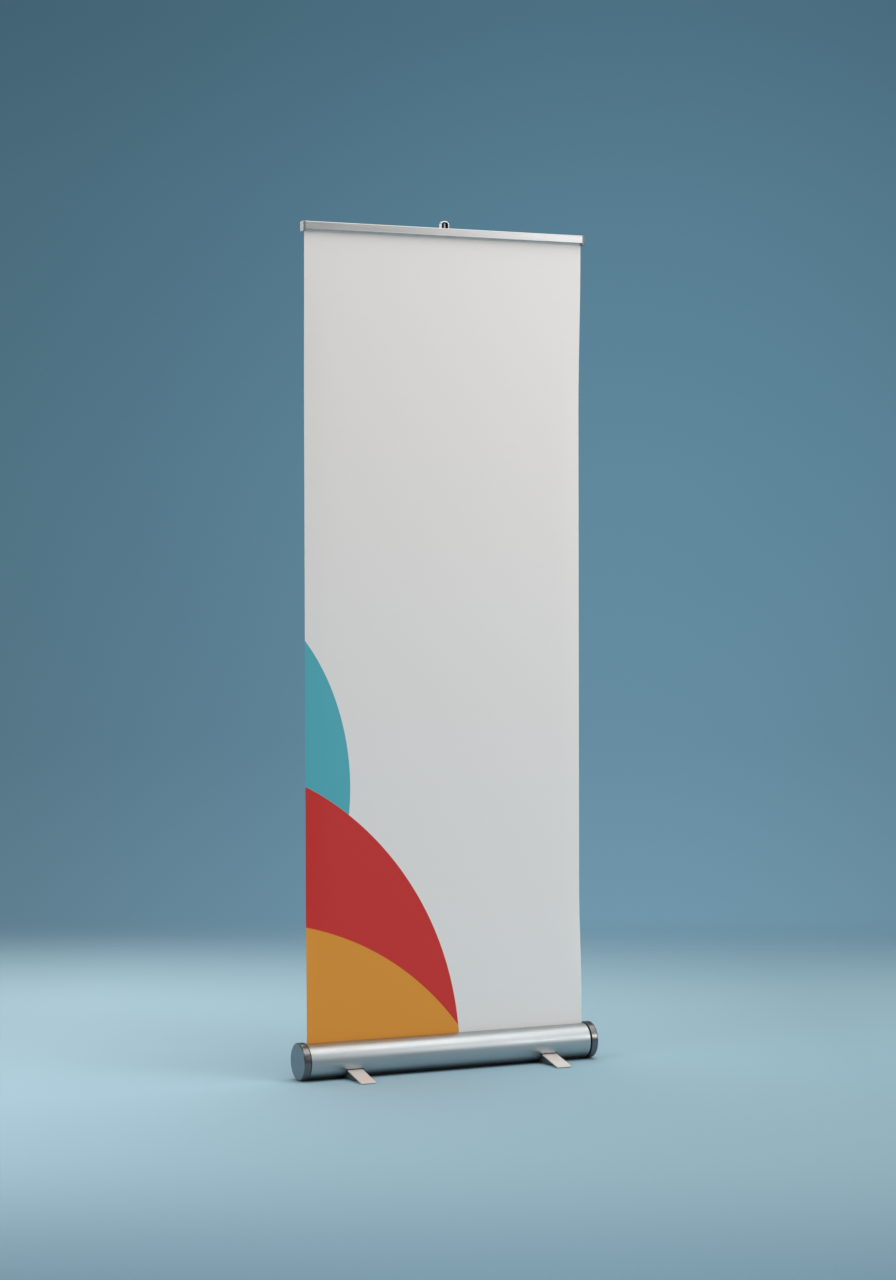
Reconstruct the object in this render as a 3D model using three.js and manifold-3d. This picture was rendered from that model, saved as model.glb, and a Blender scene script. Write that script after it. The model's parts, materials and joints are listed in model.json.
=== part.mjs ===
// Roll-up banner stand: a spring roller in a round cassette, a three-section pole behind the banner,
// a clamp rail at the top and four swivel feet.
// Millimetres, +Z up, the front faces -Y, and the origin is on the floor under the middle of the cassette.
import * as THREE from "three";
import { mergeVertices } from "three/addons/utils/BufferGeometryUtils.js";
import Module from "manifold-3d";

const GAP = 0.3; // air between pieces that touch on the real stand

// Cassette: an aluminium tube lying along X, carried between two larger end caps.
const TUBE_RADIUS = 45.33;
const TUBE_WALL = 2.0;
const TUBE_LENGTH = 808.5;
const AXIS_Z = 48.62; // the end caps touch the floor, so this is also their radius
const SLOT_HALF = 3.5;
const LIP_THICK = 2.0;
const LIP_DEPTH = 7.8;
const PORT_ANGLES = [0, 250, 140]; // screw ports inside the tube, degrees from +Y
const PORT_RADIUS = 38.6;
const PORT_HALF = 4.0;
const PORT_HOLE = 1.75;
const PORT_TIP = 34.5;

// End plates and end caps.
const PLATE_RADIUS = 44.2;
const PLATE_THICK = 2.7;
const CAP_RADIUS = AXIS_Z;
const CAP_THICK = 18.6;
const CAP_RECESS = 5.2;
const CAP_BOSS = 6.0;

// Spring roller, set forward of the tube axis so that the banner rises straight through the slot.
const ROLLER_Y = -14.8;
const ROLLER_Z = 46.0;
const ROLLER_RADIUS = 12.3;
const ROLLER_WALL = 1.1;
const ROLLER_LENGTH = 796;
const WRAP_RADIUS = 14.1;
const AXLE_RADIUS = 4.0;
const SPRING_RADIUS = 7.6;
const SPRING_WIRE = 0.9;
const SPRING_TURNS = 12;

// Banner.
const BANNER_WIDTH = 800;
const BANNER_THICK = 0.5;
const BANNER_TOP = 2197;

// Pole: three tubes that slide inside each other, behind the banner.
const POLE_Y = 19;
const POLE_WALL = 0.8;
const POLE = {
  lower: { radius: 8.0, from: 21.3, to: 765 },
  mid: { radius: 6.7, from: 715, to: 1475 },
  top: { radius: 5.4, from: 1425, to: 2195 },
};
const SOCKET_RADIUS = 10.5;
const SOCKET_BORE = 8.35;
const SOCKET_BOTTOM = 18.0;
const SOCKET_FLOOR = 21.0;
const SOCKET_TOP = 97;
const SOCKET_FLANGE = 14;

// Clamp rail, as a section in Y and in height above its lower edge.
const RAIL_Z = 2179.6;
const RAIL_HEIGHT = 26;
const RAIL_HALF_DEPTH = 11;
const RAIL_WALL = 1.6;
const RAIL_LENGTH = 800.8;
const RAIL_CAP = 5.5;
const LIP_LOW = 0.6;
const WEB_LOW = 5.4;
const WEB_HIGH = 7.0;
const BEAD = { y: -8.4, z: 23.4, radius: 1.0 };
const KNUCKLE_INNER = 1.3;
const KNUCKLE_OUTER = 2.6;
const KNUCKLE_END = 68; // degrees from +Y; the knuckle's end stays clear of the bead's neck when the jaw is open

// Hanger: a bright arch on the rail that hooks over the pole's tongue.
const HANGER_HALF = 12;
const HANGER_TOP = 2225.5;
const HANGER_ROUND = 9; // radius of the arch's two corners
const HANGER_WALL = 2.8;
const LINER_WALL = 1.2;
const HANGER_FRONT = 1.5;
const HANGER_BACK = 12.5;
const TONGUE_HALF = 2.4;
const TONGUE_TOP = HANGER_TOP - HANGER_WALL - LINER_WALL - 2 * GAP;

// Feet: flat plates that slope from a slot in the tube down to the floor.
const FOOT_X = 282;
const FOOT_SLOPE = THREE.MathUtils.degToRad(13);
const FOOT_HALF = 21;
const FOOT_THICK = 2.8;
const FOOT_START_Y = -38.3; // where the plate's upper face meets the tube
const FOOT_INSIDE = 2.0; // how far the plate enters the tube
const FOOT_LENGTH = 92.2;
const PIVOT = 22; // from the tube to the swivel pin, along the plate
const FOOT_SLOT_HALF = 24;
const FOOT_SLOT_SLOPE = THREE.MathUtils.degToRad(14.9); // a little steeper than the plate, which swings in it

const material = (color, roughness, metalness) =>
  new THREE.MeshStandardMaterial({ color, roughness, metalness });
const ALUMINIUM = () => material(0xc9ccce, 0.34, 1.0);
const STEEL = () => material(0xb4b8bb, 0.3, 1.0);
const BRIGHT = () => material(0xdfe2e4, 0.16, 1.0);
const GUNMETAL = () => material(0x39474f, 0.42, 0.2);
const BLACK = () => material(0x14171a, 0.6, 0.0);
const RUBBER = () => material(0x1b1c1d, 0.9, 0.0);
const FELT = () => material(0x202224, 1.0, 0.0);
const FILM = () => material(0xe6e6e4, 0.6, 0.0);
const LIGHT_GREY = () => material(0xc4c7c8, 0.45, 0.1);
const FOOT_PAINT = () => material(0xcfcdca, 0.4, 0.3);

const wasm = await Module();
wasm.setup();

const stand = new THREE.Group();
stand.name = "roll_up_banner_stand";

// ---------- helpers ----------

function add(name, geometry, look, parent = stand) {
  const mesh = new THREE.Mesh(geometry, look);
  mesh.name = name;
  parent.add(mesh);
  return mesh;
}

function toSolid(geometry) {
  const bare = new THREE.BufferGeometry();
  bare.setAttribute("position", geometry.getAttribute("position").clone());
  if (geometry.index) bare.setIndex(geometry.index.clone());
  const merged = mergeVertices(bare, 1e-3);
  const mesh = new wasm.Mesh({
    numProp: 3,
    vertProperties: merged.getAttribute("position").array,
    triVerts: new Uint32Array(merged.index.array),
  });
  return new wasm.Manifold(mesh);
}

function toGeometry(solid) {
  const mesh = solid.getMesh();
  const geometry = new THREE.BufferGeometry();
  geometry.setAttribute("position", new THREE.BufferAttribute(mesh.vertProperties, 3));
  geometry.setIndex(new THREE.BufferAttribute(mesh.triVerts, 1));
  const flat = geometry.toNonIndexed();
  flat.computeVertexNormals();
  return flat;
}

function cut(body, tools) {
  let solid = toSolid(body);
  for (const tool of tools) solid = solid.subtract(toSolid(tool));
  return toGeometry(solid);
}

function join(pieces) {
  let solid = toSolid(pieces[0]);
  for (const piece of pieces.slice(1)) solid = solid.add(toSolid(piece));
  return toGeometry(solid);
}

const AXES = {
  // section x, section y and depth go to these world directions
  x: new THREE.Matrix4().makeBasis(
    new THREE.Vector3(0, 1, 0),
    new THREE.Vector3(0, 0, 1),
    new THREE.Vector3(1, 0, 0),
  ),
  y: new THREE.Matrix4().makeBasis(
    new THREE.Vector3(1, 0, 0),
    new THREE.Vector3(0, 0, 1),
    new THREE.Vector3(0, -1, 0),
  ),
  z: new THREE.Matrix4(),
};

// Extrudes a section along a world axis from one coordinate to another.
function extrude(shape, axis, from, to, curveSegments = 12) {
  const depth = Math.abs(to - from);
  const geometry = new THREE.ExtrudeGeometry(shape, { depth, bevelEnabled: false, curveSegments });
  geometry.applyMatrix4(AXES[axis]);
  if (axis === "x") geometry.translate(Math.min(from, to), 0, 0);
  if (axis === "y") geometry.translate(0, Math.max(from, to), 0);
  if (axis === "z") geometry.translate(0, 0, Math.min(from, to));
  return geometry;
}

function box(x0, x1, y0, y1, z0, z1) {
  const geometry = new THREE.BoxGeometry(x1 - x0, y1 - y0, z1 - z0);
  geometry.translate((x0 + x1) / 2, (y0 + y1) / 2, (z0 + z1) / 2);
  return geometry;
}

function cylinder(axis, radius, from, to, across, up, sides = 24) {
  const geometry = new THREE.CylinderGeometry(radius, radius, Math.abs(to - from), sides);
  const middle = (from + to) / 2;
  if (axis === "x") geometry.rotateZ(-Math.PI / 2).translate(middle, across, up);
  if (axis === "z") geometry.rotateX(Math.PI / 2).translate(across, up, middle);
  return geometry;
}

function ring(outer, inner, sides) {
  const shape = new THREE.Shape(circle(0, 0, outer, 0, 360, sides).slice(0, -1));
  shape.holes.push(new THREE.Path(circle(0, 0, inner, 0, 360, sides).slice(0, -1)));
  return shape;
}

// Points on an arc, in degrees, both ends included.
function circle(cx, cy, radius, start, end, steps) {
  const points = [];
  for (let i = 0; i <= steps; i++) {
    const angle = THREE.MathUtils.degToRad(start + ((end - start) * i) / steps);
    points.push(new THREE.Vector2(cx + radius * Math.cos(angle), cy + radius * Math.sin(angle)));
  }
  return points;
}

function outline(pairs) {
  return new THREE.Shape(pairs.map((p) => (p.isVector2 ? p : new THREE.Vector2(p[0], p[1]))));
}

function roundedBox(x0, x1, y0, y1, r, steps = 4) {
  return outline([
    ...circle(x1 - r, y0 + r, r, -90, 0, steps),
    ...circle(x1 - r, y1 - r, r, 0, 90, steps),
    ...circle(x0 + r, y1 - r, r, 90, 180, steps),
    ...circle(x0 + r, y0 + r, r, 180, 270, steps),
  ]);
}

// A turned piece along X; side is +1 for the right end of the stand and -1 for the left.
function turned(profile, side, y, z, sides = 24) {
  const points = profile.map(([r, x]) => new THREE.Vector2(r, x));
  const geometry = new THREE.LatheGeometry(points, sides);
  geometry.rotateZ((-side * Math.PI) / 2);
  return geometry.translate(0, y, z);
}

// ---------- cassette ----------

function portBump(angle) {
  const inner = TUBE_RADIUS - TUBE_WALL;
  const root = Math.sqrt(inner * inner - PORT_HALF * PORT_HALF);
  const a = THREE.MathUtils.degToRad(angle);
  const at = (r, t) =>
    new THREE.Vector2(r * Math.cos(a) - t * Math.sin(a), r * Math.sin(a) + t * Math.cos(a));
  return [at(root, PORT_HALF), at(PORT_TIP, PORT_HALF), at(PORT_TIP, -PORT_HALF), at(root, -PORT_HALF)];
}

function tubeSection() {
  const inner = TUBE_RADIUS - TUBE_WALL;
  const slotAngle = THREE.MathUtils.radToDeg(Math.acos(SLOT_HALF / TUBE_RADIUS));
  const lipOut = SLOT_HALF + LIP_THICK;
  const lipAngle = THREE.MathUtils.radToDeg(Math.acos(lipOut / inner));
  const lipLow = TUBE_RADIUS - LIP_DEPTH;
  const portSpan = THREE.MathUtils.radToDeg(Math.asin(PORT_HALF / inner));
  const points = [
    ...circle(0, 0, TUBE_RADIUS, 180 - slotAngle, 360 + slotAngle, 56),
    new THREE.Vector2(SLOT_HALF, lipLow),
    new THREE.Vector2(lipOut, lipLow),
  ];
  let from = lipAngle;
  for (const port of PORT_ANGLES.map((a) => (a > 0 ? a - 360 : a))) {
    const steps = Math.round((from - port) / 8);
    points.push(...circle(0, 0, inner, from, port + portSpan, steps).slice(0, -1));
    points.push(...portBump(port));
    from = port - portSpan;
  }
  points.push(...circle(0, 0, inner, from, -180 - lipAngle, 5).slice(1));
  points.push(new THREE.Vector2(-lipOut, lipLow));
  points.push(new THREE.Vector2(-SLOT_HALF, lipLow));
  const shape = new THREE.Shape(points);
  for (const angle of PORT_ANGLES) {
    const a = THREE.MathUtils.degToRad(angle);
    const hole = circle(PORT_RADIUS * Math.cos(a), PORT_RADIUS * Math.sin(a), PORT_HOLE, 0, 360, 10);
    shape.holes.push(new THREE.Path(hole.slice(0, -1)));
  }
  return shape;
}

const footPoint = (u) => ({
  y: FOOT_START_Y - u * Math.cos(FOOT_SLOPE),
  z: footTop(FOOT_START_Y - u * Math.cos(FOOT_SLOPE)),
});

// Height of a foot plate's upper face at a given y in front of the tube.
function footTop(y) {
  const start = AXIS_Z - Math.sqrt(TUBE_RADIUS ** 2 - FOOT_START_Y ** 2);
  return start + (y - FOOT_START_Y) * Math.tan(FOOT_SLOPE);
}

// Moves a geometry from the plate's own frame (x across, -y outwards, z up from its face) to the stand.
function onSlope(geometry, u = 0, slope = FOOT_SLOPE) {
  const point = footPoint(u);
  return geometry.rotateX(slope).translate(0, point.y, point.z);
}

const SCREW_Y = -24;

function cassetteTube() {
  const body = extrude(tubeSection(), "x", -TUBE_LENGTH / 2, TUBE_LENGTH / 2);
  body.translate(0, 0, AXIS_Z);
  const tools = [cylinder("z", SOCKET_RADIUS + 0.4, 70, 110, 0, POLE_Y, 28)];
  for (const x of [-FOOT_X, FOOT_X]) {
    for (const turn of [0, Math.PI]) {
      const cutter = box(-FOOT_SLOT_HALF, FOOT_SLOT_HALF, -4, 14, -3.6, 3.0);
      const slot = onSlope(cutter, 0, FOOT_SLOT_SLOPE);
      const hole = cylinder("z", 2.3, 2, 20, 0, SCREW_Y, 12);
      tools.push(slot.rotateZ(turn).translate(x, 0, 0), hole.rotateZ(turn).translate(x, 0, 0));
    }
  }
  add("cassette_tube", cut(body, tools), ALUMINIUM());
}

function endPlate(name, side) {
  const shape = new THREE.Shape(circle(0, 0, PLATE_RADIUS, 0, 360, 40).slice(0, -1));
  const holes = [
    [0, 0, CAP_BOSS + 0.4],
    [ROLLER_Y, ROLLER_Z - AXIS_Z, AXLE_RADIUS + 0.3],
    ...PORT_ANGLES.map((angle) => {
      const a = THREE.MathUtils.degToRad(angle);
      return [PORT_RADIUS * Math.cos(a), PORT_RADIUS * Math.sin(a), 2.0];
    }),
  ];
  for (const [y, z, r] of holes) {
    shape.holes.push(new THREE.Path(circle(y, z, r, 0, 360, 16).slice(0, -1)));
  }
  const start = TUBE_LENGTH / 2 + GAP;
  const geometry = extrude(shape, "x", side * start, side * (start + PLATE_THICK));
  add(name, geometry.translate(0, 0, AXIS_Z), BLACK());
}

function endScrew(name, side, angle) {
  const face = TUBE_LENGTH / 2 + GAP + PLATE_THICK + GAP;
  const a = THREE.MathUtils.degToRad(angle);
  const profile = [
    [0, face - 16],
    [1.1, face - 16],
    [1.4, face - 14],
    [1.4, face],
    [3.2, face],
    [3.2, face + 1.2],
    [2.2, face + 2.2],
    [0, face + 2.2],
  ];
  const y = PORT_RADIUS * Math.cos(a);
  const z = AXIS_Z + PORT_RADIUS * Math.sin(a);
  add(name, turned(profile, side, y, z, 12), STEEL());
}

function endCap(name, side) {
  const inner = TUBE_LENGTH / 2 + GAP + PLATE_THICK + GAP;
  const outer = inner + CAP_THICK;
  const profile = [
    [0, inner - 2.2],
    [CAP_BOSS - 0.6, inner - 2.2],
    [CAP_BOSS, inner - 1.6],
    [CAP_BOSS, inner + CAP_RECESS],
    [43.0, inner + CAP_RECESS],
    [43.0, inner],
    [CAP_RADIUS - 0.8, inner],
    [CAP_RADIUS, inner + 0.8],
    [CAP_RADIUS, outer - 3.4],
    [CAP_RADIUS - 0.5, outer - 1.7],
    [CAP_RADIUS - 1.6, outer - 0.5],
    [CAP_RADIUS - 3.2, outer],
    [0, outer],
  ];
  add(name, turned(profile, side, 0, AXIS_Z, 48), GUNMETAL());
}

function dustBrushes() {
  const low = AXIS_Z + 40.2;
  const high = AXIS_Z + TUBE_RADIUS - 0.9;
  const near = BANNER_THICK / 2 + GAP;
  const far = SLOT_HALF - GAP;
  const half = BANNER_WIDTH / 2;
  add("brush_front", box(-half, half, -far, -near, low, high), FELT());
  add("brush_rear", box(-half, half, near, far, low, high), FELT());
}

function cassette() {
  cassetteTube();
  for (const [word, side] of [["left", -1], ["right", 1]]) {
    endPlate("end_plate_" + word, side);
    PORT_ANGLES.forEach((angle, i) => endScrew("end_screw_" + word + "_" + (i + 1), side, angle));
    endCap("end_cap_" + word, side);
  }
  dustBrushes();
}

// ---------- spring roller ----------

class Helix extends THREE.Curve {
  getPoint(t, target = new THREE.Vector3()) {
    const angle = t * SPRING_TURNS * 2 * Math.PI;
    return target.set(
      150 + 215 * t,
      ROLLER_Y + SPRING_RADIUS * Math.cos(angle),
      ROLLER_Z + SPRING_RADIUS * Math.sin(angle),
    );
  }
}

function rollerPlug(name, side) {
  const end = ROLLER_LENGTH / 2;
  const bore = AXLE_RADIUS + GAP;
  const fit = ROLLER_RADIUS - ROLLER_WALL - GAP;
  const profile = [
    [bore, end - 16],
    [fit, end - 16],
    [fit, end + GAP],
    [ROLLER_RADIUS, end + GAP],
    [ROLLER_RADIUS, end + 2],
    [bore, end + 2],
    [bore, end - 16],
  ];
  add(name, turned(profile, side, ROLLER_Y, ROLLER_Z), BLACK());
}

function axle(name, side, tip) {
  const plate = TUBE_LENGTH / 2;
  const profile = [
    [0, tip],
    [AXLE_RADIUS, tip],
    [AXLE_RADIUS, plate - 1.6],
    [7, plate - 1.6],
    [7, plate],
    [AXLE_RADIUS, plate],
    [AXLE_RADIUS, plate + PLATE_THICK + GAP],
    [0, plate + PLATE_THICK + GAP],
  ];
  add(name, turned(profile, side, ROLLER_Y, ROLLER_Z), STEEL());
}

function springAnchor() {
  const profile = [
    [AXLE_RADIUS + GAP, 128],
    [10.9, 128],
    [10.9, 142],
    [AXLE_RADIUS + GAP, 142],
    [AXLE_RADIUS + GAP, 128],
  ];
  add("spring_anchor", turned(profile, 1, ROLLER_Y, ROLLER_Z), BLACK());
}

function roller() {
  const half = ROLLER_LENGTH / 2;
  const tube = extrude(ring(ROLLER_RADIUS, ROLLER_RADIUS - ROLLER_WALL, 28), "x", -half, half);
  add("roller_tube", tube.translate(0, ROLLER_Y, ROLLER_Z), ALUMINIUM());
  const wide = BANNER_WIDTH / 2;
  const wrap = extrude(ring(WRAP_RADIUS, ROLLER_RADIUS + GAP, 32), "x", -wide + 4, wide - 4);
  add("banner_wrap", wrap.translate(0, ROLLER_Y, ROLLER_Z), FILM());
  rollerPlug("roller_plug_left", -1);
  rollerPlug("roller_plug_right", 1);
  axle("roller_axle", -1, half - 22);
  axle("spring_shaft", 1, 110);
  springAnchor();
  const wire = new THREE.Shape(circle(0, 0, SPRING_WIRE, 0, 360, 5).slice(0, -1));
  const steps = SPRING_TURNS * 9;
  const coil = new THREE.ExtrudeGeometry(wire, { extrudePath: new Helix(), steps, bevelEnabled: false });
  add("torsion_spring", coil, STEEL());
}

function banner() {
  const half = BANNER_WIDTH / 2;
  const thick = BANNER_THICK / 2;
  add("banner_sheet", box(-half, half, -thick, thick, ROLLER_Z, BANNER_TOP), FILM());
}

// ---------- pole ----------

function poleTube(name, { radius, from, to }) {
  const geometry = extrude(ring(radius, radius - POLE_WALL, 24), "z", from, to);
  add(name, geometry.translate(0, POLE_Y, 0), ALUMINIUM());
}

function poleSocket() {
  const skirt = cylinder("z", SOCKET_FLANGE, 70, SOCKET_TOP, 0, POLE_Y, 32);
  const saddle = cylinder("x", TUBE_RADIUS + GAP, -40, 40, 0, AXIS_Z, 96);
  const flange = cut(skirt, [saddle]);
  const sleeve = cylinder("z", SOCKET_RADIUS, SOCKET_BOTTOM, SOCKET_TOP - 1, 0, POLE_Y, 28);
  const bore = cylinder("z", SOCKET_BORE, SOCKET_FLOOR, 120, 0, POLE_Y, 28);
  add("pole_socket", cut(join([flange, sleeve]), [bore]), BLACK());
}

// A twist-lock collar: a ring with twelve grip lobes.
function collar(name, bore, radius, from, to) {
  const points = [];
  for (let i = 0; i < 60; i++) {
    const angle = (i * 2 * Math.PI) / 60;
    const r = radius + 0.5 * Math.cos(12 * angle);
    points.push(new THREE.Vector2(r * Math.cos(angle), r * Math.sin(angle)));
  }
  const shape = new THREE.Shape(points);
  shape.holes.push(new THREE.Path(circle(0, 0, bore, 0, 360, 24).slice(0, -1)));
  add(name, extrude(shape, "z", from, to).translate(0, POLE_Y, 0), BLACK());
}

// The head closes the top tube; a thin plate on it stands behind the hanger and carries the tongue.
function poleHead() {
  const half = 9.2;
  const low = POLE.top.to + GAP;
  const shoulder = box(-half, half, 13.4, 25.5, low, 2203);
  const top = HANGER_TOP - 2.2;
  const arch = outline([[-half, low + 1], [half, low + 1], ...circle(0, top - half, half, 0, 180, 14)]);
  const plate = extrude(arch, "y", 13.4, 17.4);
  const inside = POLE.top.radius - POLE_WALL - GAP;
  const plug = cylinder("z", inside, POLE.top.to - 26, POLE.top.to + 4, 0, POLE_Y, 20);
  const slot = box(-TONGUE_HALF - GAP, TONGUE_HALF + GAP, 10, 22, 2213.6, 2240);
  add("pole_head", cut(join([shoulder, plate, plug]), [slot]), BLACK());
}

function tongue() {
  const side = outline([
    [4.2, 2203],
    [8.2, 2203],
    [8.2, 2213.2],
    [9.0, 2214],
    [17.0, 2214],
    [17.0, TONGUE_TOP],
    [5.7, TONGUE_TOP],
    [4.2, TONGUE_TOP - 1.5],
  ]);
  add("hook_tongue", extrude(side, "x", -TONGUE_HALF, TONGUE_HALF), BRIGHT());
}

function pole() {
  poleSocket();
  poleTube("pole_lower", POLE.lower);
  poleTube("pole_mid", POLE.mid);
  poleTube("pole_top", POLE.top);
  const plugFit = POLE.lower.radius - POLE_WALL - GAP;
  const low = POLE.lower.from;
  add("pole_foot_plug", cylinder("z", plugFit, low, low + 12, 0, POLE_Y, 20), RUBBER());
  collar("collar_lower", POLE.lower.radius + GAP, 11.2, POLE.lower.to - 14, POLE.lower.to + 14);
  collar("collar_mid", POLE.mid.radius + GAP, 9.6, POLE.mid.to - 13, POLE.mid.to + 13);
  poleHead();
  tongue();
}

// ---------- top rail ----------

function railBackSection() {
  const back = RAIL_HALF_DEPTH;
  const wall = RAIL_WALL;
  const top = RAIL_HEIGHT;
  const neck = circle(BEAD.y, BEAD.z, BEAD.radius, 0, -290, 12);
  return outline([
    [1.8, LIP_LOW],
    [3.3, LIP_LOW],
    [3.3, WEB_LOW],
    [back, WEB_LOW],
    [back, top - 2],
    [back - 0.6, top - 0.6],
    [back - 2, top],
    [-5.3, top],
    [-5.3, BEAD.z + 0.5],
    [BEAD.y + 0.9, BEAD.z + 0.45],
    ...neck.slice(0, -1).reverse(),
    [-3.9, BEAD.z - 0.6],
    [-3.9, top - wall],
    [back - wall, top - wall],
    [back - wall, WEB_HIGH],
    [1.8, WEB_HIGH],
  ]);
}

function jawSection() {
  const front = -RAIL_HALF_DEPTH;
  return outline([
    [-2.3, LIP_LOW],
    [-0.7, LIP_LOW],
    [-0.7, WEB_HIGH],
    [front + 1.5, WEB_HIGH],
    [front + 1.5, BEAD.z - 1.5],
    ...circle(BEAD.y, BEAD.z, KNUCKLE_INNER, 225, KNUCKLE_END, 12),
    ...circle(BEAD.y, BEAD.z, KNUCKLE_OUTER, KNUCKLE_END, 180, 8),
    [front, WEB_LOW + 0.8],
    [front + 0.8, WEB_LOW],
    [-2.3, WEB_LOW],
  ]);
}

function railCap(name, side) {
  const start = RAIL_LENGTH / 2 + GAP;
  const face = roundedBox(-RAIL_HALF_DEPTH, RAIL_HALF_DEPTH, 0, RAIL_HEIGHT, 2.4);
  const disc = extrude(face, "x", side * start, side * (start + RAIL_CAP));
  const x = side > 0 ? [start - 8, start + 1] : [-start - 1, -start + 8];
  const plug = box(x[0], x[1], 4.2, 8.9, 9, 22);
  add(name, join([disc, plug]).translate(0, 0, RAIL_Z), LIGHT_GREY());
}

// The arch's outline: two legs, two round corners and a flat top.
function hangerArch(half, top, round, foot) {
  return [
    [half, foot],
    ...circle(half - round, top - round, round, 0, 90, 8),
    ...circle(round - half, top - round, round, 90, 180, 8),
    [-half, foot],
  ];
}

// An inverted U, as a section across X and Z.
function archShell(half, top, round, wall, foot) {
  const outer = hangerArch(half, top, round, foot);
  const inner = hangerArch(half - wall, top - wall, round - wall, foot).reverse();
  return outline([...outer, ...inner]);
}

function hanger() {
  const foot = RAIL_Z + RAIL_HEIGHT + GAP;
  const arch = archShell(HANGER_HALF, HANGER_TOP, HANGER_ROUND, HANGER_WALL, foot);
  const shell = extrude(arch, "y", HANGER_FRONT, HANGER_BACK);
  const tabs = [-1, 1].map((side) => {
    const x = [side * HANGER_HALF, side * (HANGER_HALF - HANGER_WALL)].sort((a, b) => a - b);
    return box(x[0], x[1], 4, 8.6, foot - 4.5, foot + 1);
  });
  add("rail_hanger", join([shell, ...tabs]), BRIGHT());
  const inset = HANGER_WALL + GAP;
  const liner = archShell(HANGER_HALF - inset, HANGER_TOP - inset, HANGER_ROUND - inset, LINER_WALL, foot);
  add("hanger_liner", extrude(liner, "y", HANGER_FRONT + 0.8, HANGER_BACK - 0.4), BLACK());
}

function rail() {
  const half = RAIL_LENGTH / 2;
  const body = extrude(railBackSection(), "x", -half, half).translate(0, 0, RAIL_Z);
  const top = RAIL_Z + RAIL_HEIGHT;
  const notch = box(-3.1, 3.1, 3.4, 9.0, top - 3, top + 1);
  const slots = [-1, 1].map((side) => {
    const x = side * (HANGER_HALF - HANGER_WALL / 2);
    const reach = HANGER_WALL / 2 + 0.4;
    return box(x - reach, x + reach, 3.6, 9.0, top - 3, top + 1);
  });
  add("rail_back", cut(body, [notch, ...slots]), ALUMINIUM());
  add("rail_jaw", extrude(jawSection(), "x", -half, half).translate(0, 0, RAIL_Z), ALUMINIUM());
  const strip = box(-half + 1, half - 1, 0.7, 1.5, RAIL_Z + 1.2, RAIL_Z + 6.4);
  add("grip_strip", strip, RUBBER());
  railCap("rail_cap_left", -1);
  railCap("rail_cap_right", 1);
  hanger();
}

// ---------- feet ----------

function footPlate() {
  const face = roundedBox(-FOOT_HALF, FOOT_HALF, -FOOT_LENGTH, FOOT_INSIDE, 2.2, 3);
  const slab = extrude(face, "z", -FOOT_THICK, 0);
  const hole = cylinder("z", AXLE_RADIUS + 0.4, -6, -1.0, 0, -PIVOT, 16);
  return onSlope(cut(slab, [hole]));
}

function footBracket() {
  const under = (y) => footTop(y) - (FOOT_THICK + GAP) / Math.cos(FOOT_SLOPE);
  const side = outline([
    [-14, 1.2],
    [-14, 22],
    [-36, under(-36)],
    [-80, under(-80)],
    [-80, 1.2],
  ]);
  const wedge = extrude(side, "x", -19, 19);
  const pivot = footPoint(PIVOT);
  const plan = outline([
    [-19, -10],
    [-19, pivot.y],
    ...circle(0, pivot.y, 19, 180, 360, 16).slice(1, -1),
    [19, pivot.y],
    [19, -10],
  ]);
  const rounded = toGeometry(toSolid(wedge).intersect(toSolid(extrude(plan, "z", -5, 40))));
  const tube = cylinder("x", TUBE_RADIUS + GAP, -60, 60, 0, AXIS_Z, 120);
  const pinHole = onSlope(cylinder("z", AXLE_RADIUS + 0.4, -30, 6, 0, 0, 16), PIVOT);
  const pinSeat = onSlope(cylinder("z", 7.3, -30, -14, 0, 0, 20), PIVOT);
  const screwHole = cylinder("z", 2.3, -2, 20, 0, SCREW_Y, 12);
  const screwSeat = cylinder("z", 4.0, -2, 4.2, 0, SCREW_Y, 16);
  return cut(rounded, [tube, pinHole, pinSeat, screwHole, screwSeat]);
}

function pin() {
  const profile = [
    [0, -16.2],
    [6.8, -16.2],
    [6.8, -14.4],
    [AXLE_RADIUS, -14.4],
    [AXLE_RADIUS, -1.3],
    [0, -1.3],
  ];
  const points = profile.map(([r, h]) => new THREE.Vector2(r, h));
  return onSlope(new THREE.LatheGeometry(points, 16).rotateX(Math.PI / 2), PIVOT);
}

function footPad() {
  const under = (y) => footTop(y) - (FOOT_THICK + GAP) / Math.cos(FOOT_SLOPE);
  const side = outline([
    [-125, 0],
    [-113, 0],
    [-113, under(-113)],
    [-125, under(-125)],
  ]);
  return extrude(side, "x", -15, 15);
}

function bracketScrew() {
  const profile = [
    [0, 1.6],
    [3.5, 1.6],
    [3.5, 3.8],
    [1.9, 3.8],
    [1.9, 16],
    [0, 16],
  ];
  const points = profile.map(([r, h]) => new THREE.Vector2(r, h));
  return new THREE.LatheGeometry(points, 12).rotateX(Math.PI / 2).translate(0, SCREW_Y, 0);
}

function foot(word, x, turn) {
  const group = new THREE.Group();
  group.position.x = x;
  group.rotation.z = turn;
  stand.add(group);
  add("foot_plate_" + word, footPlate(), FOOT_PAINT(), group);
  add("foot_bracket_" + word, footBracket(), BLACK(), group);
  add("foot_pin_" + word, pin(), STEEL(), group);
  add("foot_pad_" + word, footPad(), RUBBER(), group);
  add("bracket_screw_" + word, bracketScrew(), STEEL(), group);
}

cassette();
roller();
banner();
pole();
rail();
foot("front_left", -FOOT_X, 0);
foot("front_right", FOOT_X, 0);
foot("rear_left", -FOOT_X, Math.PI);
foot("rear_right", FOOT_X, Math.PI);

export default stand;
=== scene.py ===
"""Looks of the roll-up banner stand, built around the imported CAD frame. Metres, +Z up, the front faces -Y."""

import json
import math
import random

import bmesh
import bpy
import numpy as np
from mathutils import Matrix, Vector

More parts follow.
